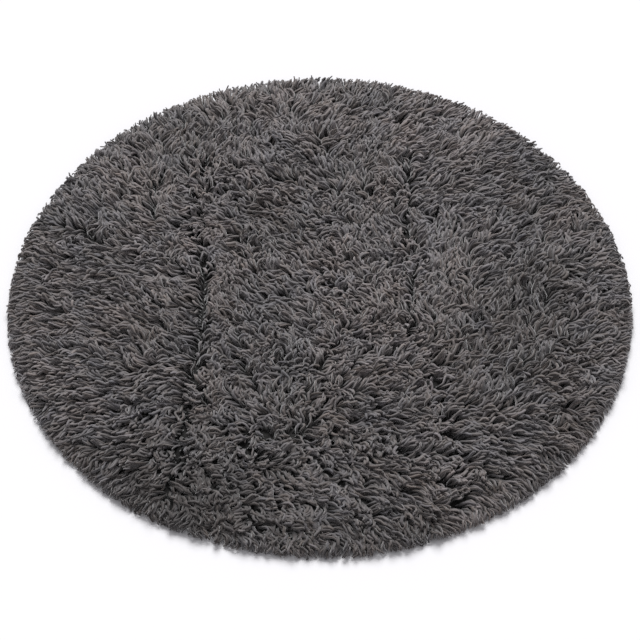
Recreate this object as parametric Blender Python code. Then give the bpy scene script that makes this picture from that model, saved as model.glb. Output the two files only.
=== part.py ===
"""Round shag rug of wool, woven in one piece and lying flat on the floor.

It is one solid, shag_rug, in metres with +Z up and the origin on the floor under its middle: a
lumpy slab whose clumps lean the way the pile is combed, with creases where the pile parts, a
rounded edge and, all round it, locks that flop out onto the floor. Its underside is flat.
"""

import math
import random
from collections import namedtuple

import bmesh
import bpy
from mathutils import Vector, noise

# Driving dimensions
RUG_RADIUS = 0.800  # to the tips of the longest rim locks
RIM_LOCK_LENGTH = 0.044  # how far the longest rim locks reach past the pile's edge
PILE_HEIGHT = 0.027  # the valleys between clumps, away from rim and creases
CLUMP_RISE = 0.012  # how far a clump's crown stands above its valleys
CLUMPS_ACROSS = 36

# The pile's rounded edge
EDGE_HEIGHT = 0.019  # where the top of the pile meets the roots of the rim locks
EDGE_UNEVENNESS = 0.003  # how far that height strays up or down
EDGE_ROUNDING = 0.080  # width of the band in which the pile comes down to it
EDGE_RISE_SHARE = 0.5  # how much of their rise the clumps keep at the very edge
FOOT_SPREAD = 0.008  # how far the foot of the pile stands out past its top edge

# The way the pile lies
CLUMP_LEAN = 0.013  # how far a crown leans out over its own foot
SWIRL = 0.45  # how much the lay wanders between the strokes of the comb
SWIRL_SIZE = 0.12
SWIRL_OFFSET = Vector((0.0, 0.0, 7.5))  # parts the noise along Y from the noise along X
UNEVENNESS = 0.005  # slow rise and fall of the whole pile
UNEVEN_SIZE = 0.22
JITTER = 0.010  # how far a clump's corners sit off the even grid; its crown, half as far
CROWN_SPREAD = 0.005  # how much crowns differ in height
LEAST_FACET = 0.00006  # area in plan below which a crown has leaned out too far
LEAN_STEP = 0.8  # and how it is then drawn back, again and again
LEAST_LEAN = 0.0001
SEED = 16

# Strokes of a comb over the pile: each one a place, the heading that the locks take there in
# degrees from +X towards +Y, and how far the stroke is felt
Stroke = namedtuple("Stroke", "x y heading reach")
STROKES = (
    Stroke(-0.46, 0.50, 112, 0.14),
    Stroke(-0.60, 0.36, 134, 0.12),
    Stroke(-0.66, 0.18, 152, 0.12),
    Stroke(-0.60, 0.00, 185, 0.16),
    Stroke(-0.60, -0.24, 182, 0.14),
    Stroke(-0.54, -0.43, 205, 0.13),
    Stroke(-0.40, -0.12, 140, 0.10),
    Stroke(-0.40, -0.38, 232, 0.08),
    Stroke(-0.30, 0.55, 92, 0.12),
    Stroke(-0.30, -0.14, 106, 0.07),
    Stroke(-0.29, -0.54, 276, 0.12),
    Stroke(-0.17, -0.12, 156, 0.10),
    Stroke(-0.15, -0.56, 306, 0.11),
    Stroke(-0.12, 0.28, 152, 0.16),
    Stroke(-0.12, -0.34, 132, 0.12),
    Stroke(-0.08, -0.68, 325, 0.12),
    Stroke(0.02, 0.02, 138, 0.14),
    Stroke(0.05, -0.38, 355, 0.12),
    Stroke(0.10, -0.62, 318, 0.13),
    Stroke(0.16, -0.24, 8, 0.10),
    Stroke(0.17, 0.55, 58, 0.12),
    Stroke(0.19, 0.18, 100, 0.12),
    Stroke(0.26, 0.02, 80, 0.09),
    Stroke(0.34, 0.52, 30, 0.15),
    Stroke(0.36, -0.32, 40, 0.10),
    Stroke(0.42, -0.54, 344, 0.14),
    Stroke(0.46, -0.14, 66, 0.12),
    Stroke(0.50, 0.35, 24, 0.15),
    Stroke(0.56, 0.13, 50, 0.13),
    Stroke(0.62, -0.36, 6, 0.12),
    Stroke(0.70, -0.05, 22, 0.13),
)

# Creases where the pile parts: at is a crease's place across, half way along it, and lean how far
# it strays from there for each metre; start and end are along it
Crease = namedtuple("Crease", "along at lean start end width depth bow")
CREASES = (
    Crease("y", at=-0.308, lean=-0.01, start=0.02, end=0.50, width=0.028, depth=0.013, bow=0.0),
    Crease("y", at=-0.300, lean=0.03, start=-0.30, end=0.10, width=0.022, depth=0.014, bow=0.0),
    Crease("y", at=-0.330, lean=0.05, start=-0.60, end=-0.26, width=0.026, depth=0.008, bow=0.0),
    Crease("y", at=0.236, lean=-0.01, start=-0.18, end=0.54, width=0.024, depth=0.012, bow=0.0),
    Crease("y", at=0.272, lean=-0.17, start=-0.70, end=-0.10, width=0.030, depth=0.013, bow=0.01),
    Crease("y", at=-0.447, lean=0.00, start=0.08, end=0.38, width=0.022, depth=0.007, bow=0.0),
    Crease("x", at=0.350, lean=0.00, start=-0.52, end=0.21, width=0.024, depth=0.008, bow=0.012),
    Crease("x", at=-0.135, lean=0.00, start=-0.25, end=0.33, width=0.022, depth=0.007, bow=0.008),
    Crease("x", at=-0.500, lean=0.00, start=-0.50, end=0.31, width=0.028, depth=0.010, bow=-0.01),
)
CREASE_FADES_FROM = 0.75  # as a share of half the crease's length
CREASE_FADES_TO = 1.05

# Rim locks: one from each piece of the pile's edge
MID_SHARE = 0.60  # how far along a lock its middle section lies
MID_WIDTH = 0.78  # its width there, as a share of its root
MID_HEIGHT = 0.62  # and its height
SHORTEST_LOCK = 0.75  # as a share of the longest
LOCK_SWAY = 0.012  # how far a run of locks bends to one side at the tips
SWAY_SIZE = 0.10  # length of such a run
SWAY_GAIN = 2.0  # brings the noise up to about -1 to 1
LOCK_STRAY = 0.003  # how far each tip strays from its neighbours

PILE_COLOUR = (0.118, 0.113, 0.111, 1.0)
PILE_ROUGHNESS = 0.95

# Worked out from those
PILE_RADIUS = RUG_RADIUS - RIM_LOCK_LENGTH - FOOT_SPREAD
FOOT_RADIUS = PILE_RADIUS + FOOT_SPREAD


def clear_scene():
    for obj in list(bpy.data.objects):
        bpy.data.objects.remove(obj)


def pile_material():
    material = bpy.data.materials.new("pile_wool")
    material.use_nodes = True
    shader = material.node_tree.nodes["Principled BSDF"]
    shader.inputs["Base Color"].default_value = PILE_COLOUR
    shader.inputs["Roughness"].default_value = PILE_ROUGHNESS
    shader.inputs["Metallic"].default_value = 0.0
    material.diffuse_color = PILE_COLOUR
    return material


def smoothstep(low, high, value):
    share = min(1.0, max(0.0, (value - low) / (high - low)))
    return share * share * (3.0 - 2.0 * share)


def on_disc(u, v):
    """The point of a disc of radius 1 for a point of the square from -1 to 1, areas kept even."""
    if abs(u) < 1e-9 and abs(v) < 1e-9:
        return 0.0, 0.0
    if abs(u) > abs(v):
        reach, turn = u, math.pi / 4 * v / u
    else:
        reach, turn = v, math.pi / 2 - math.pi / 4 * u / v
    return reach * math.cos(turn), reach * math.sin(turn)


def crease_at(crease, x, y):
    """How far (x, y) lies to one side of the crease, and how strong the crease is there."""
    along, across = (y, x) if crease.along == "y" else (x, y)
    middle, half = (crease.start + crease.end) / 2, (crease.end - crease.start) / 2
    from_middle = (along - middle) / half
    line = crease.at + crease.lean * (along - middle) + crease.bow * math.cos(math.pi * from_middle)
    off = across - line
    strength = math.exp(-((off / crease.width) ** 2))
    fading = smoothstep(CREASE_FADES_FROM, CREASE_FADES_TO, abs(from_middle))
    return off, strength * (1.0 - fading)


def pile_height(x, y):
    """Height of the valleys between clumps at (x, y)."""
    slow = noise.noise(Vector((x, y, 0.0)) / UNEVEN_SIZE)
    height = PILE_HEIGHT + UNEVENNESS * slow
    for crease in CREASES:
        height -= crease.depth * crease_at(crease, x, y)[1]
    inland = PILE_RADIUS - math.hypot(x, y)
    return EDGE_HEIGHT + (height - EDGE_HEIGHT) * smoothstep(0.0, EDGE_ROUNDING, inland)


def lay_of_pile(x, y):
    """The level direction that the pile is combed in at (x, y), of length up to 1."""
    place = Vector((x, y, 0.0))
    combed, felt = Vector((0.0, 0.0, 0.0)), 0.0
    for stroke in STROKES:
        from_stroke = math.hypot(x - stroke.x, y - stroke.y)
        weight = math.exp(-((from_stroke / stroke.reach) ** 2))
        heading = math.radians(stroke.heading)
        combed += weight * Vector((math.cos(heading), math.sin(heading), 0.0))
        felt += weight
    swirl_x = noise.noise(place / SWIRL_SIZE)
    swirl_y = noise.noise(place / SWIRL_SIZE + SWIRL_OFFSET)
    lay = combed / felt + SWIRL * Vector((swirl_x, swirl_y, 0.0))
    for crease in CREASES:
        off, depth = crease_at(crease, x, y)
        away = math.copysign(depth, off)
        lay += Vector((away, 0.0, 0.0)) if crease.along == "y" else Vector((0.0, away, 0.0))
    return lay / max(1.0, lay.length)


def by_place(verts):
    """The points in an order that is the same each time, so that each gets the same chance."""
    return sorted(verts, key=lambda vert: (round(vert.co.y, 6), round(vert.co.x, 6)))


def angle_of(place):
    return math.atan2(place.y, place.x)


def place_ring(verts, radius, height):
    """Moves a ring of points to a radius and a height, each staying at its own angle."""
    for vert in verts:
        angle = angle_of(vert.co)
        vert.co = Vector((radius * math.cos(angle), radius * math.sin(angle), height))


def least_facet(crown):
    """The smallest area in plan of the faces around a crown. Below 0, one of them overhangs."""
    areas = []
    for face in crown.link_faces:
        a, b, c = (v.co for v in face.verts)
        areas.append(((b.x - a.x) * (c.y - a.y) - (c.x - a.x) * (b.y - a.y)) / 2)
    return min(areas)


def raise_crown(crown, chance):
    """Lifts a clump's middle and leans it the way the pile lies, but not out over the next."""
    foot = crown.co.copy()
    inland = smoothstep(0.0, EDGE_ROUNDING, PILE_RADIUS - foot.to_2d().length)
    rise = CLUMP_RISE * (EDGE_RISE_SHARE + (1.0 - EDGE_RISE_SHARE) * inland)
    rise += chance.uniform(-1, 1) * CROWN_SPREAD
    lean = CLUMP_LEAN * lay_of_pile(foot.x, foot.y)
    lean += Vector((chance.uniform(-1, 1), chance.uniform(-1, 1), 0.0)) * JITTER / 2
    crown.co = foot + lean
    while least_facet(crown) < LEAST_FACET and lean.length > LEAST_LEAN:
        lean *= LEAN_STEP
        crown.co = foot + lean
    crown.co.z = pile_height(foot.x, foot.y) + rise


def add_clumps(bm, chance):
    """The top of the pile: a grid of clumps on a disc, each raised to a crown that leans over."""
    bmesh.ops.create_grid(bm, x_segments=CLUMPS_ACROSS, y_segments=CLUMPS_ACROSS, size=1.0)
    for vert in by_place(bm.verts):
        x, y = on_disc(vert.co.x, vert.co.y)
        vert.co = Vector((x * PILE_RADIUS, y * PILE_RADIUS, 0.0))
        if not vert.is_boundary:
            vert.co.x += chance.uniform(-JITTER, JITTER)
            vert.co.y += chance.uniform(-JITTER, JITTER)
    rim = [e for e in bm.edges if e.is_boundary]
    bmesh.ops.subdivide_edges(bm, edges=rim, cuts=1)
    place_ring([v for v in bm.verts if v.is_boundary], PILE_RADIUS, EDGE_HEIGHT)
    for vert in by_place(bm.verts):
        vert.co.z = pile_height(vert.co.x, vert.co.y)
        if vert.is_boundary:
            vert.co.z += chance.uniform(-1, 1) * EDGE_UNEVENNESS
    for crown in by_place(bmesh.ops.poke(bm, faces=bm.faces[:])["verts"]):
        raise_crown(crown, chance)


def add_underside(bm):
    """Makes a wall from the pile's edge to the floor and a flat underside. Returns the wall."""
    rim = [e for e in bm.edges if e.is_boundary]
    made = bmesh.ops.extrude_edge_only(bm, edges=rim)["geom"]
    wall = [part for part in made if isinstance(part, bmesh.types.BMFace)]
    place_ring([v for v in bm.verts if v.is_boundary], FOOT_RADIUS, 0.0)
    bmesh.ops.contextual_create(bm, geom=[e for e in bm.edges if e.is_boundary])
    return wall


def add_rim_locks(bm, wall, chance):
    """Draws each face of the wall out into a four-sided lock that lies on the floor."""
    sections = bmesh.ops.extrude_discrete_faces(bm, faces=wall)["faces"]
    for section in sorted(sections, key=lambda face: angle_of(face.calc_center_median())):
        root = section.calc_center_median()
        angle = angle_of(root)
        out = Vector((math.cos(angle), math.sin(angle), 0.0))
        side = Vector((-out.y, out.x, 0.0))
        length = RIM_LOCK_LENGTH * chance.uniform(SHORTEST_LOCK, 1.0)
        bend = SWAY_GAIN * noise.noise(out * (FOOT_RADIUS / SWAY_SIZE))
        sway = LOCK_SWAY * max(-1.0, min(1.0, bend)) + LOCK_STRAY * chance.uniform(-1, 1)
        for vert in section.verts:
            across = (vert.co - root).dot(side) * MID_WIDTH
            vert.co = (
                out * (FOOT_RADIUS + length * MID_SHARE)
                + side * (across + sway * MID_SHARE**2)
                + Vector((0.0, 0.0, vert.co.z * MID_HEIGHT))
            )
        tip = bmesh.ops.poke(bm, faces=[section])["verts"][0]
        tip.co = out * (FOOT_RADIUS + length) + side * sway


def make_shag_rug():
    chance = random.Random(SEED)
    bm = bmesh.new()
    add_clumps(bm, chance)
    wall = add_underside(bm)
    add_rim_locks(bm, wall, chance)
    bmesh.ops.recalc_face_normals(bm, faces=bm.faces[:])
    mesh = bpy.data.meshes.new("shag_rug")
    bm.to_mesh(mesh)
    bm.free()
    mesh.materials.append(pile_material())
    return bpy.data.objects.new("shag_rug", mesh)


def main():
    clear_scene()
    collection = bpy.data.collections.new("round_shag_rug")
    bpy.context.scene.collection.children.link(collection)
    collection.objects.link(make_shag_rug())


main()
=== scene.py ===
"""The looks of the round shag rug: about 28,000 separate wavy wool locks, rooted in a matted
under-pile on a woven ground cloth, lying as they were combed on a plain pale floor.

All sizes are in metres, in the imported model's frame: +Z up, -Y towards the viewer. Angles are in
radians and colours are linear. What a pair given to smoothstep stands for fades in from the pair's
first value to its second.
"""

import math
from collections import namedtuple

import bpy
import numpy as np
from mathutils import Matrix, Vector, noise


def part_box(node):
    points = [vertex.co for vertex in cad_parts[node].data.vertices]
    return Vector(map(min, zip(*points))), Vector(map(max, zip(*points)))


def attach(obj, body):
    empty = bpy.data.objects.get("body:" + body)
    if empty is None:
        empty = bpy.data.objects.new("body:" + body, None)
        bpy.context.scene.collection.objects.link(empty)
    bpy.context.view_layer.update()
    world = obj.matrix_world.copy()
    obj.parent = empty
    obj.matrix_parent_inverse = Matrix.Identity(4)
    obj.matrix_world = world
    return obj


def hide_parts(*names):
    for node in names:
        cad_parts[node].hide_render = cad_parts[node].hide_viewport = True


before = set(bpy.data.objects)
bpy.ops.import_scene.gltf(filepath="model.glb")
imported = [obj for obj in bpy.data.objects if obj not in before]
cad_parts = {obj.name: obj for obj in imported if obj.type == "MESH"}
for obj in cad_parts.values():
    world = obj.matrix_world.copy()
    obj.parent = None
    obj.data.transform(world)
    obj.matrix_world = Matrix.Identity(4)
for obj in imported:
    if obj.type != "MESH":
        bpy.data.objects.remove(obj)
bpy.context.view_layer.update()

# ---------------------------------------------------------------- sizes

LOW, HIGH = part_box("shag_rug")
RUG_RADIUS = (HIGH[0] - LOW[0] + HIGH[1] - LOW[1]) / 4

CLOTH_THICKNESS = 0.0025
CLOTH_RADIUS = RUG_RADIUS - 0.028  # the locks of the rim reach out past it
CLOTH_RINGS = (0.25, 0.50, 0.75, 0.97)  # shares of its radius where its mesh has a ring
CLOTH_SIDES = 180

ROOTS_RADIUS = CLOTH_RADIUS - 0.002
ROOTS_TOP = 0.013  # top of the matted under-pile
ROOTS_EDGE = 0.006  # and its top at the rim
ROOTS_FALL = (0.93, 1.0)  # shares of its radius between which it gets that low
ROOTS_DIP = 0.004  # how much lower it is along a crease
ROOTS_LUMPS = 0.0015
ROOTS_RINGS = 29
ROOTS_SIDES = 150

LOCK_COUNT = 27200
LOCK_LENGTH = 0.052  # what shows of a lock above the under-pile
LOCK_RADIUS = 0.0042
LENGTH_SPREAD = (0.08, 0.25)  # share by which they differ in length, and the most by which any does
RADIUS_SPREAD = (0.15, 0.40)  # and the same for how thick they are
ROOT_SHARE = 0.85  # radius of a lock at its root, as a share of its widest
TIP_SHARE = 0.70  # and just before its tip
TAPER = 2.6  # the higher, the nearer to its tip a lock starts to get thinner
TWIST = 0.8  # how far a lock's section turns from root to tip
SIDES = 3
STEPS = 6  # straight steps along a lock, ever shorter towards its tip
STEP_SHARES = [1 - (1 - step / STEPS) ** 1.5 for step in range(STEPS + 1)]

CLOTH_MARGIN = 0.003  # no lock is rooted nearer than this to the ground cloth's edge
SPOT_JITTER = 0.36  # how far spots stray from an even grid, as a share of its pitch
RIM_RINGS = 3  # rows of more locks along the ground cloth's edge
RIM_LOCKS = 520  # in each of them
RIM_INSET = 0.004  # of the outermost row from that edge
RIM_GAP = 0.007  # between the rows
RIM_JITTER = 0.3  # of the locks along a row, as a share of the gap between two of them

ROOT_DEPTH = 0.005  # the locks start this far down in the under-pile
ROOT_HEIGHT_RIM = 0.004  # above the floor, where the rim's locks start
REST_SHARE = 0.9  # a lock rests on the floor with its middle at this share of its radius
REST_LIFT = 0.003  # or up to this much higher
LOWEST_CORNER = 0.0004
PILE_LIMIT = 0.042  # locks that rise above this are pressed down
PILE_GIVE = 0.012  # and come no further above it than this
EDGE_LIMIT = RUG_RADIUS - 0.014  # locks that reach out past this are pushed back likewise
EDGE_LIMIT_SPREAD = 0.004  # for single locks it lies up to this much further in
EDGE_GIVE = 0.018
OUTLINE_INSET = (0.002, 0.015)  # the outermost ones are first made to reach this near the edge

# ---------------------------------------------------------------- how the pile lies

CLUMP_SIZE = 0.036  # the pile gathers in clumps about this far apart
CLUMP_PULL = 0.30  # how far tips are drawn towards the middle of their clump
CLUMP_PULL_RIM = 0.2  # as a share of that
CLUMP_PULL_PARTED = 1.8
CLUMP_TURN = 0.24  # angle by which whole clumps stray from the lay of the pile
CLUMP_LIFT = 0.08  # and by which they lie flatter or steeper
LOCK_TURN = 0.17  # and single locks within them
PARTED_TURN = 0.35  # more of it where the pile parts
RIM_STRAY = 0.35  # what is left of all of it at the rim
OUTWARDS_RIM = 0.5  # how far the rim's locks turn straight outwards, whatever the strokes say
OUTWARDS_EDGE = 0.3  # and the outermost ones besides
PARTED_LENGTH = 0.86  # share of their length that shows where they stand up

# The strongest curl: how far a lock turns to one side from root to tip
CURL = (0.5, 2.2)  # in the straightest and in the curliest places
CLUMP_CURL = 0.8  # share of it that a clump has in common
CLUMP_CURL_RIM = 0.4
CLUMP_CURL_EDGE_LOSS = 0.7
LOCK_CURL = 0.35
BRUSH_CURL_LOSS = 0.5  # along the far rim

# Crimp: the small waves along a lock, sideways and, as a share of that, up and down
CRIMP = (0.55, 0.95)  # in the straightest and in the curliest places
CRIMP_SPREAD = (0.7, 1.2)
CRIMP_UP = 0.6
BRUSH_CRIMP_LOSS = 0.4
WAVES = 0.90  # waves along a lock
WAVES_DRIFT = 0.25  # by how much their number changes from one part of the rug to another
WAVES_SPREAD = 0.05  # and from lock to lock
PHASE_SPREAD = 0.07  # by how much neighbours are out of step, in waves
PHASE_UP_SPREAD = 0.10

# How curly each kind of place is, from 0 to 1
CURLY_MIDDLE = 0.55
CURLY_FLAT_LOSS = 0.5
CURLY_NEAR = 0.8
CURLY_RIM = 0.35
CURLY_LOOSE = 0.6

# Kinds of place
RIM_FROM = (RUG_RADIUS - 0.105, RUG_RADIUS - 0.035)  # where locks arch over to the floor
EDGE_FROM = (CLOTH_RADIUS - 0.024, CLOTH_RADIUS - 0.010)  # the outermost rows
OUTLINE_FROM = (CLOTH_RADIUS - 0.016, CLOTH_RADIUS - 0.010)  # those that make the rug's outline
DENSE_FROM = (CLOTH_RADIUS - 0.100, CLOTH_RADIUS - 0.060)  # no longer thinned near the viewer
FLAT_FROM = (0.10, 0.55)  # combed flatter away from the middle
FLAT_SQUEEZE = 0.8  # which counts less along Y
FAR_FROM = (0.25, 0.65)  # along +Y, towards the far rim
NEAR_FROM = (0.26, 0.48)  # along -Y: the curls that hang towards the viewer
NEAR_MIDDLE = -0.17  # their place along X
NEAR_HALF = (0.12, 0.30)  # and they fade out between these distances from it
THINNING = 0.45  # share of the locks that are missing where a crease is at its frizziest
THINNING_NEAR = 0.20  # and among the curls
EDGE_THINNER = 0.30  # share by which locks are thinner in the outermost rows
BRUSH_THINNER = 0.15  # and besides along the far rim

# How steeply locks rise in each kind of place, at the root and at the tip
Pitch = namedtuple(
    "Pitch", "middle flat spread loose near near_share far parted rim far_rim rim_spread"
)
ROOT_PITCH = Pitch(
    middle=0.90,
    flat=0.85,
    spread=0.12,  # by how much single locks differ
    loose=0.35,  # what is added where strokes meet
    near=1.15,  # among the curls
    near_share=0.7,  # and how far locks get to it
    far=0.0,  # what is added at the far side
    parted=1.20,
    rim=1.20,
    far_rim=-0.50,  # what is added at the far rim
    rim_spread=0.15,
)
TIP_PITCH = Pitch(
    middle=0.02,
    flat=0.00,
    spread=0.16,
    loose=0.25,
    near=-0.60,
    near_share=0.8,
    far=0.10,
    parted=0.45,
    rim=-0.95,
    far_rim=0.90,
    rim_spread=0.18,
)
PITCH_BEND = 0.8  # the lower, the nearer to its root a lock bends over
PARTED_SHARE = 0.8  # how far locks get to their pitch where the pile parts
CLUMP_LIFT_FAR = 0.5  # share by which clumps differ more at the far side
CLUMP_LIFT_RIM = 0.4  # what is left of that at the rim

# Layers of smooth noise over the rug: the size of their features, and what sets them apart
Layer = namedtuple("Layer", "size offset")
SWIRL_X_LAYER = Layer(0.12, 0.0)
SWIRL_Y_LAYER = Layer(0.12, 7.5)
CURLY_LAYER = Layer(0.11, 3.0)
LUMPS_LAYER = Layer(0.02, 5.0)
TONE_LAYER = Layer(0.25, 11.0)
FINE_TONE_LAYER = Layer(0.05, 12.0)
WAVES_LAYER = Layer(0.05, 21.0)
PHASE_LAYER = Layer(0.05, 22.0)
PHASE_UP_LAYER = Layer(0.05, 23.0)
CREASE_LAYER = Layer(0.09, 31.0)
PARTED_LAYER = Layer(0.07, 33.0)

# The way the pile lies: strokes of a comb over the rug, each one a place, the heading that the
# locks take there in degrees from +X towards +Y, and how far the stroke is felt
Stroke = namedtuple("Stroke", "x y heading reach")
STROKES = (
    Stroke(-0.46, 0.50, 112, 0.14),
    Stroke(-0.60, 0.36, 134, 0.12),
    Stroke(-0.66, 0.18, 152, 0.12),
    Stroke(-0.60, 0.00, 185, 0.16),
    Stroke(-0.60, -0.24, 182, 0.14),
    Stroke(-0.54, -0.43, 205, 0.13),
    Stroke(-0.40, -0.12, 140, 0.10),
    Stroke(-0.40, -0.38, 232, 0.08),
    Stroke(-0.30, 0.55, 92, 0.12),
    Stroke(-0.30, -0.14, 106, 0.07),
    Stroke(-0.29, -0.54, 276, 0.12),
    Stroke(-0.17, -0.12, 156, 0.10),
    Stroke(-0.15, -0.56, 306, 0.11),
    Stroke(-0.12, 0.28, 152, 0.16),
    Stroke(-0.12, -0.34, 132, 0.12),
    Stroke(-0.08, -0.68, 325, 0.12),
    Stroke(0.02, 0.02, 138, 0.14),
    Stroke(0.05, -0.38, 355, 0.12),
    Stroke(0.10, -0.62, 318, 0.13),
    Stroke(0.16, -0.24, 8, 0.10),
    Stroke(0.17, 0.55, 58, 0.12),
    Stroke(0.19, 0.18, 100, 0.12),
    Stroke(0.26, 0.02, 80, 0.09),
    Stroke(0.34, 0.52, 30, 0.15),
    Stroke(0.36, -0.32, 40, 0.10),
    Stroke(0.42, -0.54, 344, 0.14),
    Stroke(0.46, -0.14, 66, 0.12),
    Stroke(0.50, 0.35, 24, 0.15),
    Stroke(0.56, 0.13, 50, 0.13),
    Stroke(0.62, -0.36, 6, 0.12),
    Stroke(0.70, -0.05, 22, 0.13),
)
UNFELT = 1e-4  # weight of a lay straight outwards, which shows only where no stroke is felt
SWIRL = 0.45  # how much the lay wanders between the strokes

# Where the pile parts: a stretch that runs along x or y from start to end, at a place across it,
# leaning and bowed so much, and its width. spread is how firmly the locks fall away to both sides,
# and frizz how many of them stand up, curl and stray instead
Crease = namedtuple("Crease", "along at lean start end width bow spread frizz")
CREASES = (
    Crease("y", -0.308, -0.01, 0.02, 0.50, 0.028, 0.000, spread=1.0, frizz=1.0),
    Crease("y", -0.300, 0.03, -0.30, 0.10, 0.020, 0.000, spread=2.6, frizz=0.2),
    Crease("y", -0.330, 0.05, -0.60, -0.26, 0.026, 0.000, spread=0.8, frizz=0.4),
    Crease("y", 0.236, -0.01, -0.18, 0.54, 0.022, 0.000, spread=0.9, frizz=0.4),
    Crease("y", 0.272, -0.17, -0.70, -0.10, 0.030, 0.010, spread=0.7, frizz=1.0),
    Crease("y", -0.447, 0.00, 0.08, 0.38, 0.022, 0.000, spread=0.4, frizz=0.8),
    Crease("x", 0.350, 0.00, -0.52, 0.21, 0.024, 0.012, spread=0.0, frizz=0.7),
    Crease("x", -0.135, 0.00, -0.25, 0.33, 0.022, 0.008, spread=0.0, frizz=0.3),
    Crease("x", -0.500, 0.00, -0.50, 0.31, 0.028, -0.010, spread=0.0, frizz=0.7),
)
CREASE_WANDER = 0.007  # a crease strays this far from its line
CREASE_ENDS = (0.75, 1.05)  # shares of half its length between which it fades out
SPREAD_WIDTH = 1.8  # the lay turns away from a crease over this many times its width
PARTED_MEAN = 0.75  # how firmly locks stand up along it, as a share of frizz
PARTED_DRIFT = 0.9
PARTED_RANGE = (0.2, 1.0)

# ---------------------------------------------------------------- looks

# Where the locks are made lighter or darker than elsewhere, to match how light or dark that part of
# the pile looks: each patch's middle, reach and change of tone. The dark ones along the near rim
# are painted shade, the light ones towards the far rim painted light
Patch = namedtuple("Patch", "x y reach tone")
PATCHES = (
    Patch(0.06, -0.05, reach=0.22, tone=0.30),
    Patch(-0.06, 0.13, reach=0.11, tone=-0.28),
    Patch(-0.38, 0.14, reach=0.18, tone=0.12),
    Patch(0.22, 0.49, reach=0.20, tone=0.32),
    Patch(-0.34, -0.60, reach=0.24, tone=-0.32),
    Patch(-0.27, -0.72, reach=0.12, tone=-0.25),
    Patch(0.55, 0.02, reach=0.14, tone=-0.32),
    Patch(0.76, 0.05, reach=0.12, tone=0.14),
    Patch(-0.74, -0.22, reach=0.14, tone=0.16),
    Patch(-0.73, 0.26, reach=0.12, tone=-0.12),
    Patch(0.14, -0.70, reach=0.16, tone=-0.26),
    Patch(0.52, -0.20, reach=0.15, tone=-0.32),
    Patch(0.68, -0.28, reach=0.15, tone=0.14),
    Patch(-0.25, 0.66, reach=0.15, tone=0.14),
)
TONE_MEAN = 0.5  # tones run from 0, the darkest yarn, to 1, the lightest
TONE_DRIFT = 0.26
TONE_DRIFT_FINE = 0.10
FAR_SIDE_PAINTED_LIGHT = 0.10  # a metre, along +Y: painted light, locks lighter towards the far rim, the side the light comes from
# Painted highlight: locks lighter where the pile parts, for the light caught by the frizz standing
# up there
PARTED_PAINTED_HIGHLIGHT = 0.22
TONE_SPREAD_CLUMP = 0.06
TONE_SPREAD_LOCK = 0.15

PATTERN_MAP = "OFBake"  # the mesh's map of the yarn's pattern
LANES = 48  # strips of that pattern, from the darkest yarn to the lightest
LANE_MARGIN = 0.06  # a lock keeps off its strip's sides by this share of its width
LANE_END_MARGIN = 0.01
SECTORS = 6  # the locks are joined into this many pieces, side by side round the rug
SEED = 7

WOOL_TONES = (
    (0.0, (0.056, 0.050, 0.049)),
    (0.45, (0.126, 0.115, 0.113)),
    (0.75, (0.166, 0.150, 0.148)),
    (1.0, (0.232, 0.210, 0.207)),
)
WOOL_TINTS = ((0.0, (0.95, 0.98, 1.05)), (0.5, (1.0, 1.0, 1.0)), (1.0, (1.06, 1.01, 0.95)))
WOOL_PATCHES = ((0.35, (0.96, 0.99, 1.03)), (0.65, (1.05, 1.00, 0.97)))
# The fibres' own streaky tone, with painted shade in the grooves between them, where their bump is
# low
FIBRE_TONE_AND_GROOVE_SHADE = ((0.25, (0.78, 0.78, 0.78)), (0.55, (1.0, 1.0, 1.0)), (0.8, (1.20, 1.19, 1.19)))
PAINTED_ROOT_SHADE = (  # painted shade along a lock, from its root, darkest deep in the pile, to its tip, which is a little lighter than the yarn
    (0.0, (0.04, 0.04, 0.04)),
    (0.25, (0.21, 0.21, 0.21)),
    (0.50, (0.84, 0.84, 0.84)),
    (0.75, (1.05, 1.04, 1.04)),
    (1.0, (1.08, 1.07, 1.07)),
)
FIBRE_TURNS = 1.4  # turns that the fibres make round a lock from root to tip
FIBRE_RATE = 5.0  # features of their noise along a lock, for each one round it
# Painted shade: the under-pile between the locks is painted near black, for the deep shade of the
# pile
UNDER_PILE_SHADE = ((0.3, (0.004, 0.004, 0.004)), (0.7, (0.016, 0.015, 0.014)))
# Dark grey yarn of the ground, with painted shade where the threads dip between one another
GROUND_YARN_AND_GROOVE_SHADE = ((0.2, (0.035, 0.033, 0.032)), (1.0, (0.165, 0.155, 0.150)))
WEAVE_PITCH = 0.0032  # from one thread of the ground to the next

# The camera stands 4.5 m away in front of the rug and looks down at it by 50 degrees, through a
# long lens
CAMERA_PLACE = (0.0, -2.980, 3.465)
CAMERA_TARGET = (0.0, -0.0905, 0.010)
CAMERA_LENS = 100.0  # mm
CAMERA_SENSOR = 36.0  # mm

LIGHT_FROM = (-0.04, 1.30, 1.36)
LIGHT_SOFTNESS = math.radians(36.0)  # how wide it is in the sky
LIGHT_STRENGTH = 3.42
WORLD_COLOUR = (1.0, 0.99, 1.02, 1.0)
WORLD_STRENGTH = 0.42

FLOOR_COLOUR = (0.838, 0.833, 0.850, 1.0)
FLOOR_RADIUS = 40.0
FLOOR_SIDES = 96
FLOOR_TOP = 0.0002  # the rug's own weight presses it that far into the floor


# ---------------------------------------------------------------- fields over the rug


def smoothstep(low, high, value):
    share = np.clip((value - low) / (high - low), 0.0, 1.0)
    return share * share * (3.0 - 2.0 * share)


def mix(a, b, share):
    return a + (b - a) * share


def bell(off, width):
    return np.exp(-((off / width) ** 2))


def eased(value, limit, give):
    """The values themselves up to the limit, and ever less far past it, at most by give."""
    return np.minimum(value, limit) + give * np.tanh(np.maximum(value - limit, 0.0) / give)


def drift(x, y, layer):
    """Smooth noise from about -1 to 1 at each point."""
    size, offset = layer
    return np.array([noise.noise(Vector((a / size, b / size, offset))) for a, b in zip(x, y)])


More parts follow.
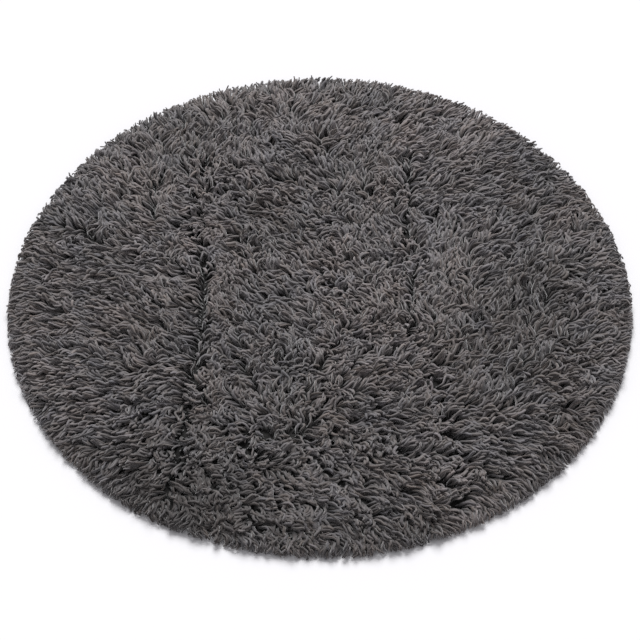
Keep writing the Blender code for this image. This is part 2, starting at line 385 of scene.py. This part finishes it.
def crease_at(crease, x, y):
    """How far each point lies to one side of the crease, and 1 along it that fades at its ends."""
    along, across = (y, x) if crease.along == "y" else (x, y)
    middle, half = (crease.start + crease.end) / 2, (crease.end - crease.start) / 2
    from_middle = (along - middle) / half
    line = crease.at + crease.lean * (along - middle) + crease.bow * np.cos(math.pi * from_middle)
    off = across - line
    off = off + CREASE_WANDER * drift(x, y, CREASE_LAYER)
    return off, 1.0 - smoothstep(*CREASE_ENDS, np.abs(from_middle))


def parted_at(x, y):
    """How far the locks at each point stand up out of a crease, from 0 to 1."""
    parted = np.zeros(len(x))
    for crease in CREASES:
        off, held = crease_at(crease, x, y)
        parted = np.maximum(parted, crease.frizz * held * bell(off, crease.width))
    return parted * np.clip(PARTED_MEAN + PARTED_DRIFT * drift(x, y, PARTED_LAYER), *PARTED_RANGE)


def lay_of_pile(x, y):
    """The level direction that the pile is combed in at each point, as two arrays."""
    lay_x, lay_y, felt = UNFELT * x, UNFELT * y, UNFELT
    for stroke in STROKES:
        weight = np.exp(-((x - stroke.x) ** 2 + (y - stroke.y) ** 2) / stroke.reach**2)
        lay_x = lay_x + weight * math.cos(math.radians(stroke.heading))
        lay_y = lay_y + weight * math.sin(math.radians(stroke.heading))
        felt = felt + weight
    lay_x = lay_x / felt + SWIRL * drift(x, y, SWIRL_X_LAYER)
    lay_y = lay_y / felt + SWIRL * drift(x, y, SWIRL_Y_LAYER)
    for crease in CREASES:
        off, held = crease_at(crease, x, y)
        fall = crease.spread * held * bell(off, SPREAD_WIDTH * crease.width)
        lay_x = lay_x + fall * np.sign(off)
    return lay_x, lay_y


# What kind of place each lock stands in, as a share of each kind from 0 to 1. brush is the far
# rim, where straighter and thinner locks stand out like a brush
Places = namedtuple("Places", "parted near flat rim edge far brush")


def places_at(x, y):
    radius = np.hypot(x, y)
    rim, far = smoothstep(*RIM_FROM, radius), smoothstep(*FAR_FROM, y)
    beside = smoothstep(*NEAR_HALF, np.abs(x - NEAR_MIDDLE))
    return Places(
        parted=parted_at(x, y),
        near=smoothstep(*NEAR_FROM, -y) * (1 - beside),
        flat=smoothstep(*FLAT_FROM, np.hypot(x, y * FLAT_SQUEEZE)),
        rim=rim,
        edge=smoothstep(*EDGE_FROM, radius),
        far=far,
        brush=rim * far,
    )


# ---------------------------------------------------------------- the locks


def even_spots(count, radius, chance):
    """About that many points on a disc: a triangular grid, each point jittered a little."""
    pitch = math.sqrt(math.pi * radius**2 / count / math.sin(math.pi / 3))
    row = pitch * math.sin(math.pi / 3)
    rows, across = int(radius / row) + 2, int(radius / pitch) + 2
    j, i = np.mgrid[-rows : rows + 1, -across : across + 1]
    x = (i + 0.5 * (j % 2)).ravel() * pitch
    x = x + chance.uniform(-SPOT_JITTER, SPOT_JITTER, i.size) * pitch
    y = j.ravel() * row + chance.uniform(-SPOT_JITTER, SPOT_JITTER, i.size) * pitch
    inside = np.hypot(x, y) < radius
    return x[inside], y[inside]


def nearest(x, y, spots_x, spots_y):
    """The index of the spot nearest each point."""
    found = np.empty(len(x), dtype=int)
    for start in range(0, len(x), 2000):  # not all at once, which would take too much memory
        part = slice(start, start + 2000)
        gap = (x[part, None] - spots_x) ** 2 + (y[part, None] - spots_y) ** 2
        found[part] = np.argmin(gap, axis=1)
    return found


def varied(spread, most, count, chance):
    """Factors that vary round 1, none of them further from it than most."""
    return 1 + chance.normal(0.0, spread, count).clip(-most, most)


def plant(chance):
    """Where the locks are rooted, as x, y and what kind of place that is."""
    x, y = even_spots(LOCK_COUNT, CLOTH_RADIUS - CLOTH_MARGIN, chance)
    for ring in range(RIM_RINGS):
        jitter = chance.uniform(-RIM_JITTER, RIM_JITTER, RIM_LOCKS)
        turn = math.tau * (np.arange(RIM_LOCKS) + 0.5 * ring + jitter) / RIM_LOCKS
        radius = CLOTH_RADIUS - RIM_INSET - RIM_GAP * ring
        x, y = np.append(x, radius * np.cos(turn)), np.append(y, radius * np.sin(turn))
    places = places_at(x, y)
    thinned = THINNING_NEAR * places.near * (1 - smoothstep(*DENSE_FROM, np.hypot(x, y)))
    kept = chance.random(len(x)) > np.maximum(THINNING * places.parted, thinned)
    return x[kept], y[kept], Places(*(share[kept] for share in places))


def pitch_at(pitch, places, loose, clump_lift, chance):
    """How steeply each lock rises, at its root or at its tip."""
    count = len(loose)
    rise = mix(pitch.middle, pitch.flat, places.flat)
    rise = rise + clump_lift * (1 + CLUMP_LIFT_FAR * places.far)
    rise = rise + chance.normal(0.0, pitch.spread, count)
    rise = mix(rise + pitch.loose * loose, pitch.near, pitch.near_share * places.near)
    rise = mix(rise + pitch.far * places.far, pitch.parted, PARTED_SHARE * places.parted)
    at_rim = pitch.rim + pitch.far_rim * places.far + CLUMP_LIFT_RIM * clump_lift
    at_rim = at_rim + chance.normal(0.0, pitch.rim_spread, count)
    return mix(rise, at_rim, places.rim)


def grow_locks(chance):
    """The path of every lock: points[step, lock, xyz], with its widest radius and its clump."""
    x, y, places = plant(chance)
    count = len(x)

    # Clumps: each one strays as a whole, and its tips gather
    clump_x, clump_y = even_spots(
        int(math.pi * CLOTH_RADIUS**2 / CLUMP_SIZE**2), CLOTH_RADIUS, chance
    )
    clump = nearest(x, y, clump_x, clump_y)
    clump_turn = chance.normal(0.0, CLUMP_TURN, len(clump_x))[clump]
    clump_lift = chance.normal(0.0, CLUMP_LIFT, len(clump_x))[clump]

    lay_x, lay_y = lay_of_pile(x, y)
    loose = 1.0 - np.clip(np.hypot(lay_x, lay_y), 0.0, 1.0)  # where strokes meet, the pile stands
    outwards = OUTWARDS_RIM * places.rim + OUTWARDS_EDGE * places.edge
    out = np.arctan2(y, x)
    heading = np.arctan2(mix(lay_y, np.sin(out), outwards), mix(lay_x, np.cos(out), outwards))
    stray = clump_turn * (1 + places.parted) * (1 - places.edge)
    stray = stray + chance.normal(0.0, LOCK_TURN, count)
    heading += stray * mix(1.0, RIM_STRAY, places.rim)
    heading += chance.normal(0.0, PARTED_TURN, count) * places.parted

    length = LOCK_LENGTH * varied(*LENGTH_SPREAD, count, chance)
    length *= mix(1.0, PARTED_LENGTH, places.parted)
    root_pitch = pitch_at(ROOT_PITCH, places, loose, clump_lift, chance)
    tip_pitch = pitch_at(TIP_PITCH, places, loose, clump_lift, chance)

    curly = CURLY_MIDDLE - CURLY_FLAT_LOSS * places.flat + places.parted
    curly = np.clip(curly + drift(x, y, CURLY_LAYER), 0.0, 1.0)
    curly = np.maximum(np.maximum(curly, CURLY_NEAR * places.near), CURLY_RIM * places.rim)
    curly = np.minimum(curly + CURLY_LOOSE * loose, 1.0)
    clump_curl = chance.normal(0.0, 1.0, len(clump_x))[clump]
    clump_curl *= mix(CLUMP_CURL, CLUMP_CURL_RIM, places.rim)
    clump_curl *= 1 - CLUMP_CURL_EDGE_LOSS * places.edge
    curl = mix(*CURL, curly) * (clump_curl + chance.normal(0.0, LOCK_CURL, count))
    curl *= 1 - BRUSH_CURL_LOSS * places.brush
    crimp = mix(*CRIMP, curly) * chance.uniform(*CRIMP_SPREAD, count)
    crimp *= 1 - BRUSH_CRIMP_LOSS * places.brush
    waves = WAVES + WAVES_DRIFT * drift(x, y, WAVES_LAYER) + chance.normal(0.0, WAVES_SPREAD, count)
    phase = drift(x, y, PHASE_LAYER) + chance.normal(0.0, PHASE_SPREAD, count)
    phase_up = drift(x, y, PHASE_UP_LAYER) + chance.normal(0.0, PHASE_UP_SPREAD, count)

    points = np.empty((STEPS + 1, count, 3))
    start_height = mix(ROOTS_TOP - ROOT_DEPTH, ROOT_HEIGHT_RIM, places.rim)
    points[0] = np.stack([x, y, start_height], axis=1)
    for step in range(STEPS):
        share = (STEP_SHARES[step] + STEP_SHARES[step + 1]) / 2
        span = STEP_SHARES[step + 1] - STEP_SHARES[step]
        turn = heading + curl * share**2 + crimp * np.sin(math.tau * (waves * share + phase))
        pitch = mix(root_pitch, tip_pitch, share**PITCH_BEND)
        pitch += CRIMP_UP * crimp * np.sin(math.tau * (waves * share + phase_up)) * share
        move = np.stack([np.cos(pitch) * np.cos(turn), np.cos(pitch) * np.sin(turn), np.sin(pitch)])
        points[step + 1] = points[step] + (move * length * span).T

    gather(points, clump, places)
    thick = LOCK_RADIUS * varied(*RADIUS_SPREAD, count, chance)
    thick *= (1 - EDGE_THINNER * places.edge) * (1 - BRUSH_THINNER * places.brush)
    settle(points, thick, chance)
    return points, thick, clump


def gather(points, clump, places):
    """Draws the tips of each clump together."""
    tips = points[-1, :, :2]
    tally = np.bincount(clump).clip(1)
    middle = np.stack([np.bincount(clump, tips[:, k]) / tally for k in (0, 1)], axis=1)
    strength = mix(mix(1.0, CLUMP_PULL_RIM, places.rim), CLUMP_PULL_PARTED, places.parted)
    pull = (middle[clump] - tips) * (CLUMP_PULL * strength)[:, None]
    for step in range(1, STEPS + 1):
        points[step, :, :2] += pull * STEP_SHARES[step] ** 2


def settle(points, thick, chance):
    """Keeps the locks above the floor, in the pile and inside the rug's edge, and lengthens the
    outermost ones so that all of them reach near it."""
    count = points.shape[1]
    low = thick * REST_SHARE + chance.uniform(0.0, REST_LIFT, count)
    points[:, :, 2] = eased(np.maximum(points[:, :, 2], low), PILE_LIMIT, PILE_GIVE)

    reach = np.hypot(points[:, :, 0], points[:, :, 1])
    short = np.maximum(
        RUG_RADIUS - chance.uniform(*OUTLINE_INSET, count) - reach.max(axis=0), 0.0
    )
    short *= smoothstep(*OUTLINE_FROM, reach[0])
    points[:, :, :2] *= (1 + short * np.array(STEP_SHARES)[:, None] / reach)[:, :, None]

    reach = np.hypot(points[:, :, 0], points[:, :, 1])
    limit = EDGE_LIMIT - chance.uniform(0.0, EDGE_LIMIT_SPREAD, count)
    points[:, :, :2] *= (eased(reach, limit, EDGE_GIVE) / reach)[:, :, None]


def lock_rings(points, thick, chance):
    """The corner points of every lock: rings[step, side, lock, xyz], with the tips apart."""
    tangents = np.gradient(points, axis=0)
    tangents /= np.linalg.norm(tangents, axis=2, keepdims=True)
    level = np.cross(tangents[0], (0.0, 0.0, 1.0))
    across = level / (np.linalg.norm(level, axis=1, keepdims=True) + 1e-9)
    start = chance.uniform(0.0, math.tau, points.shape[1])
    rings = np.empty((STEPS, SIDES, points.shape[1], 3))
    for step in range(STEPS):
        along = tangents[step]
        across = across - along * (across * along).sum(axis=1, keepdims=True)
        across /= np.linalg.norm(across, axis=1, keepdims=True) + 1e-9
        other = np.cross(along, across)
        share = STEP_SHARES[step]
        swell = mix(ROOT_SHARE, 1.0, min(1.0, share * 3))  # at its widest from a third of the way
        size = thick * swell * mix(1.0, TIP_SHARE, share**TAPER)
        for side in range(SIDES):
            angle = start + TWIST * share + math.tau * side / SIDES
            arm = across * np.cos(angle)[:, None] + other * np.sin(angle)[:, None]
            rings[step, side] = points[step] + arm * size[:, None]
    rings[..., 2] = np.maximum(rings[..., 2], LOWEST_CORNER)
    return rings


def lock_faces():
    """The faces of one lock by its own point numbers: rings first, then the tip, all triangles.
    Also each face's corners on the yarn's pattern, as (along, around)."""
    tip = STEPS * SIDES
    faces, places = [], []
    for step in range(STEPS):
        low, high = STEP_SHARES[step], STEP_SHARES[step + 1]
        for side in range(SIDES):
            a, b = step * SIDES + side, step * SIDES + (side + 1) % SIDES
            left, right = side / SIDES, (side + 1) / SIDES
            if step == STEPS - 1:
                faces.append((a, b, tip))
                places.append(((low, left), (low, right), (high, right)))
            else:
                c, d = b + SIDES, a + SIDES
                faces += [(a, b, c), (a, c, d)]
                places.append(((low, left), (low, right), (high, right)))
                places.append(((low, left), (high, right), (high, left)))
    faces.append(tuple(reversed(range(SIDES))))  # the root's end, hidden in the under-pile
    places.append(((0.0, 0.2), (0.0, 0.5), (0.0, 0.8)))
    return np.array(faces), np.array(places)


def mesh_object(name, verts, faces, material, uv=None):
    """A mesh of triangles from arrays, shaded smooth, with uv as its map of the yarn."""
    mesh = bpy.data.meshes.new(name)
    mesh.vertices.add(len(verts))
    mesh.vertices.foreach_set("co", verts.astype(np.float32).ravel())
    mesh.loops.add(faces.size)
    mesh.loops.foreach_set("vertex_index", faces.astype(np.int32).ravel())
    mesh.polygons.add(len(faces))
    mesh.polygons.foreach_set("loop_start", np.arange(0, faces.size, 3, dtype=np.int32))
    mesh.update(calc_edges=True)
    mesh.shade_smooth()
    if uv is not None:
        layer = mesh.uv_layers.new(name=PATTERN_MAP)
        layer.data.foreach_set("uv", uv.astype(np.float32).ravel())
    mesh.materials.append(material)
    return add_object(name, mesh)


def add_object(name, data):
    obj = bpy.data.objects.new(name, data)
    bpy.context.scene.collection.objects.link(obj)
    return obj


def lock_lanes(x, y, clump, chance):
    """Each lock's strip of the pattern: tones over the rug, of clumps and of single locks, with
    painted light towards the far rim and on the creases' frizz, and patches of painted light and
    shade.
    """
    tone = TONE_MEAN + TONE_DRIFT * drift(x, y, TONE_LAYER)
    tone += TONE_DRIFT_FINE * drift(x, y, FINE_TONE_LAYER)
    # Painted light: locks lighter towards the far rim
    # and a painted highlight on the frizz where the pile parts
    tone += FAR_SIDE_PAINTED_LIGHT * y + PARTED_PAINTED_HIGHLIGHT * parted_at(x, y)
    # Patches of lighter or darker tone, painted shade along the near rim and painted light towards
    # the far rim among them
    for patch in PATCHES:
        tone += patch.tone * bell(np.hypot(x - patch.x, y - patch.y), patch.reach)
    of_clump = chance.normal(0.0, TONE_SPREAD_CLUMP, clump.max() + 1)[clump]
    tone += of_clump + chance.normal(0.0, TONE_SPREAD_LOCK, len(x))
    return (np.clip(tone, 0.0, 0.999) * LANES).astype(int)


def build_pile(material):
    """All the locks, joined sector by sector."""
    chance = np.random.default_rng(SEED)
    points, thick, clump = grow_locks(chance)
    rings = lock_rings(points, thick, chance)
    count = points.shape[1]
    corners = np.concatenate(
        [rings.transpose(2, 0, 1, 3).reshape(count, -1, 3), points[-1][:, None, :]], axis=1
    )
    faces, places = lock_faces()
    x, y = points[0, :, 0], points[0, :, 1]
    lane = lock_lanes(x, y, clump, chance)
    along = mix(LANE_END_MARGIN, 1 - LANE_END_MARGIN, places[..., 0])
    around = mix(LANE_MARGIN, 1 - LANE_MARGIN, places[..., 1])

    sector = ((np.arctan2(y, x) / math.tau) % 1.0 * SECTORS).astype(int)
    pieces = []
    for number in range(SECTORS):
        chosen = np.flatnonzero(sector == number)
        verts = corners[chosen].reshape(-1, 3)
        first = np.arange(len(chosen)) * corners.shape[1]
        tris = (faces[None] + first[:, None, None]).reshape(-1, 3)
        uv = np.empty((len(chosen), *places.shape))
        uv[..., 0] = along
        uv[..., 1] = (lane[chosen][:, None, None] + around) / LANES
        pieces.append(mesh_object(f"pile_{number + 1}", verts, tris, material, uv))
    return pieces


# ---------------------------------------------------------------- what the locks stand in


def disc_mesh(outline, sides):
    """A closed round body. outline is its profile from the middle of the top to the middle of
    the bottom, as (radius, height) pairs, the first and last on the axis."""
    turn = np.arange(sides) * math.tau / sides
    verts = [(0.0, 0.0, outline[0][1])]
    for radius, height in outline[1:-1]:
        verts += [(radius * math.cos(a), radius * math.sin(a), height) for a in turn]
    verts.append((0.0, 0.0, outline[-1][1]))
    faces = [(0, 1 + i, 1 + (i + 1) % sides) for i in range(sides)]
    for band in range(len(outline) - 3):
        upper = 1 + band * sides
        for i in range(sides):
            a, b = upper + i, upper + (i + 1) % sides
            c, d = a + sides, b + sides
            faces += [(a, c, d), (a, d, b)]
    last = 1 + (len(outline) - 3) * sides
    faces += [(len(verts) - 1, last + (i + 1) % sides, last + i) for i in range(sides)]
    return np.array(verts, dtype=float), np.array(faces)


def build_ground(material):
    """The woven ground cloth, lying flat on the floor."""
    outline = [(0.0, CLOTH_THICKNESS)]
    outline += [(CLOTH_RADIUS * share, CLOTH_THICKNESS) for share in CLOTH_RINGS]
    outline += [(CLOTH_RADIUS, CLOTH_THICKNESS * share) for share in (0.6, 0.3)]  # its edge
    outline += [(CLOTH_RADIUS * share, 0.0) for share in reversed(CLOTH_RINGS)]
    outline += [(0.0, 0.0)]
    return mesh_object("ground_cloth", *disc_mesh(outline, CLOTH_SIDES), material)


def build_roots(material):
    """The matted under-pile: a low lumpy layer over the ground cloth that the locks stand in."""
    outline = [(0.0, ROOTS_TOP)]
    for share in np.linspace(0.0, 1.0, ROOTS_RINGS + 1)[1:]:
        height = mix(ROOTS_EDGE, ROOTS_TOP, float(1 - smoothstep(*ROOTS_FALL, share)))
        outline.append((ROOTS_RADIUS * share, height))
    outline += [(ROOTS_RADIUS, CLOTH_THICKNESS), (0.0, CLOTH_THICKNESS)]
    verts, faces = disc_mesh(outline, ROOTS_SIDES)
    x, y = verts[:, 0], verts[:, 1]
    top = verts[:, 2] > CLOTH_THICKNESS
    for crease in CREASES:
        off, held = crease_at(crease, x, y)
        verts[:, 2] -= ROOTS_DIP * held * bell(off, crease.width) * top
    verts[:, 2] += ROOTS_LUMPS * drift(x, y, LUMPS_LAYER) * top
    return mesh_object("pile_roots", verts, faces, material)


# ---------------------------------------------------------------- materials


class Nodes:
    """A short way to write node trees: each call adds a node and links its inputs."""

    def __init__(self, name):
        self.material = bpy.data.materials.new(name)
        self.material.use_nodes = True
        self.tree = self.material.node_tree
        self.shader = self.tree.nodes["Principled BSDF"]

    def add(self, kind, inputs=(), **settings):
        node = self.tree.nodes.new(kind)
        for name, value in settings.items():
            setattr(node, name, value)
        for name, value in dict(inputs).items():
            self.put(node.inputs[name], value)
        return node

    def put(self, socket, value):
        if isinstance(value, bpy.types.NodeSocket):
            self.tree.links.new(value, socket)
        else:
            socket.default_value = value

    def shade(self, values):
        for name, value in values.items():
            self.put(self.shader.inputs[name], value)

    def place(self):
        """The point's place on the object, in metres."""
        return self.add("ShaderNodeTexCoord").outputs["Object"]

    def split(self, vector):
        return self.add("ShaderNodeSeparateXYZ", {0: vector}).outputs

    def noise(self, vector, scale, detail, roughness=0.5):
        inputs = {"Vector": vector, "Scale": scale, "Detail": detail, "Roughness": roughness}
        return self.add("ShaderNodeTexNoise", inputs).outputs[0]

    def math(self, operation, *values):
        return self.add("ShaderNodeMath", enumerate(values), operation=operation).outputs[0]

    def times(self, colour, other):
        """Two colours multiplied. Inputs 6 and 7 and output 2 are the Mix node's colours."""
        inputs = {0: 1.0, 6: colour, 7: other}
        node = self.add("ShaderNodeMix", inputs, data_type="RGBA", blend_type="MULTIPLY")
        return node.outputs[2]

    def ramp(self, value, stops):
        node = self.add("ShaderNodeValToRGB", {0: value})
        ramp = node.color_ramp
        while len(ramp.elements) < len(stops):
            ramp.elements.new(0.5)
        for element, (place, colour) in zip(ramp.elements, stops):
            element.position = place
            element.color = (*colour, 1.0)
        return node.outputs[0]

    def bump(self, height, strength, distance):
        inputs = {"Strength": strength, "Distance": distance, "Height": height}
        return self.add("ShaderNodeBump", inputs).outputs[0]


def lock_material():
    """Spun wool. The pattern map gives how far along its lock a point is and how far round it,
    and which strip of the pattern the lock has: dark strips low, light strips high."""
    n = Nodes("wool_locks")
    along, up, _ = n.split(n.add("ShaderNodeUVMap", uv_map=PATTERN_MAP).outputs[0])
    strips = n.math("MULTIPLY", up, float(LANES))
    strip = n.math("FLOOR", strips)

    # Fibres run along the lock with the yarn's twist, and each strip has its own
    twisted = n.math("MULTIPLY_ADD", along, FIBRE_TURNS, strips)
    inputs = {0: n.math("MULTIPLY", along, FIBRE_RATE), 1: twisted}
    on_lock = n.add("ShaderNodeCombineXYZ", inputs).outputs[0]
    fibres = n.noise(on_lock, scale=5.0, detail=3.0, roughness=0.65)

    colour = n.ramp(n.math("DIVIDE", strip, float(LANES)), WOOL_TONES)
    hue = n.add("ShaderNodeTexWhiteNoise", {"W": strip}, noise_dimensions="1D").outputs[0]
    colour = n.times(colour, n.ramp(hue, WOOL_TINTS))
    patches = n.noise(n.place(), scale=9.0, detail=2.0)
    colour = n.times(colour, n.ramp(patches, WOOL_PATCHES))
    # Painted shade: each lock darker towards its root, deep in the pile
    colour = n.times(colour, n.ramp(along, PAINTED_ROOT_SHADE))
    # Streaky fibre tone, and painted shade in the grooves between the fibres
    colour = n.times(colour, n.ramp(fibres, FIBRE_TONE_AND_GROOVE_SHADE))
    n.shade(
        {
            "Base Color": colour,
            "Roughness": n.math("MULTIPLY_ADD", fibres, 0.2, 0.62),
            "Normal": n.bump(fibres, strength=0.35, distance=0.0012),
            "Specular IOR Level": 0.30,
            "Sheen Weight": 0.40,
            "Sheen Roughness": 0.45,
        }
    )
    return n.material


def roots_material():
    """Matted wool between the locks, painted near black: painted shade deep in the pile."""
    n = Nodes("matted_wool_painted_shade")
    matting = n.noise(n.place(), scale=260.0, detail=5.0)
    n.shade(
        {
            # painted shade, near black
            "Base Color": n.ramp(matting, UNDER_PILE_SHADE),
            "Roughness": 0.95,
            "Normal": n.bump(matting, strength=0.8, distance=0.002),
        }
    )
    return n.material


def ground_material():
    """Plain weave of thick dark grey yarn, a warp and a weft thread every few millimetres."""
    n = Nodes("ground_weave")
    place = n.place()
    x, y, _ = n.split(place)
    across_warp = n.math("SINE", n.math("MULTIPLY", x, math.pi / WEAVE_PITCH))
    across_weft = n.math("SINE", n.math("MULTIPLY", y, math.pi / WEAVE_PITCH))
    warp, weft = n.math("ABSOLUTE", across_warp), n.math("ABSOLUTE", across_weft)
    warp_on_top = n.math("GREATER_THAN", n.math("MULTIPLY", across_warp, across_weft), 0.0)
    inputs = {0: warp_on_top, 2: weft, 3: warp}
    thread = n.add("ShaderNodeMix", inputs, data_type="FLOAT").outputs[0]
    fuzz = n.noise(place, scale=420.0, detail=4.0)
    height = n.math("MULTIPLY_ADD", fuzz, 0.4, thread)
    n.shade(
        {
            # The yarn's grey, with painted shade where the threads dip
            "Base Color": n.ramp(height, GROUND_YARN_AND_GROOVE_SHADE),
            "Roughness": n.math("MULTIPLY_ADD", fuzz, 0.15, 0.82),
            "Normal": n.bump(height, strength=0.9, distance=0.0012),
        }
    )
    return n.material


# ---------------------------------------------------------------- the stage


def build_floor():
    mesh = bpy.data.meshes.new("floor")
    turn = [math.tau * i / FLOOR_SIDES for i in range(FLOOR_SIDES)]
    rim = [(FLOOR_RADIUS * math.cos(a), FLOOR_RADIUS * math.sin(a), FLOOR_TOP) for a in turn]
    mesh.from_pydata(rim, [], [range(FLOOR_SIDES)])
    n = Nodes("floor_white")
    n.shade({"Base Color": FLOOR_COLOUR, "Roughness": 0.9, "Specular IOR Level": 0.1})
    mesh.materials.append(n.material)
    floor = add_object("floor", mesh)


def aim(obj, place, target):
    obj.location = place
    obj.rotation_euler = (Vector(target) - Vector(place)).to_track_quat("-Z", "Y").to_euler()


def build_stage():
    build_floor()

    # One wide soft light from above the far rim, and a pale room
    light = bpy.data.lights.new("key_light", "SUN")
    light.angle = LIGHT_SOFTNESS
    light.energy = LIGHT_STRENGTH
    aim(add_object("key_light", light), LIGHT_FROM, (0.0, 0.0, 0.0))
    world = bpy.data.worlds.new("studio")
    world.use_nodes = True
    background = world.node_tree.nodes["Background"]
    background.inputs["Color"].default_value = WORLD_COLOUR
    background.inputs["Strength"].default_value = WORLD_STRENGTH
    bpy.context.scene.world = world
    bpy.context.scene.view_settings.view_transform = "Standard"

    camera = add_object("camera", bpy.data.cameras.new("camera"))
    camera.data.lens = CAMERA_LENS
    camera.data.sensor_width = CAMERA_SENSOR
    aim(camera, CAMERA_PLACE, CAMERA_TARGET)
    bpy.context.scene.camera = camera


# ---------------------------------------------------------------- all of it


def main():
    build_stage()
    ground = build_ground(ground_material())
    roots = build_roots(roots_material())
    pile = build_pile(lock_material())
    for piece in [ground, roots, *pile]:
        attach(piece, "root")
        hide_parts("shag_rug")


main()
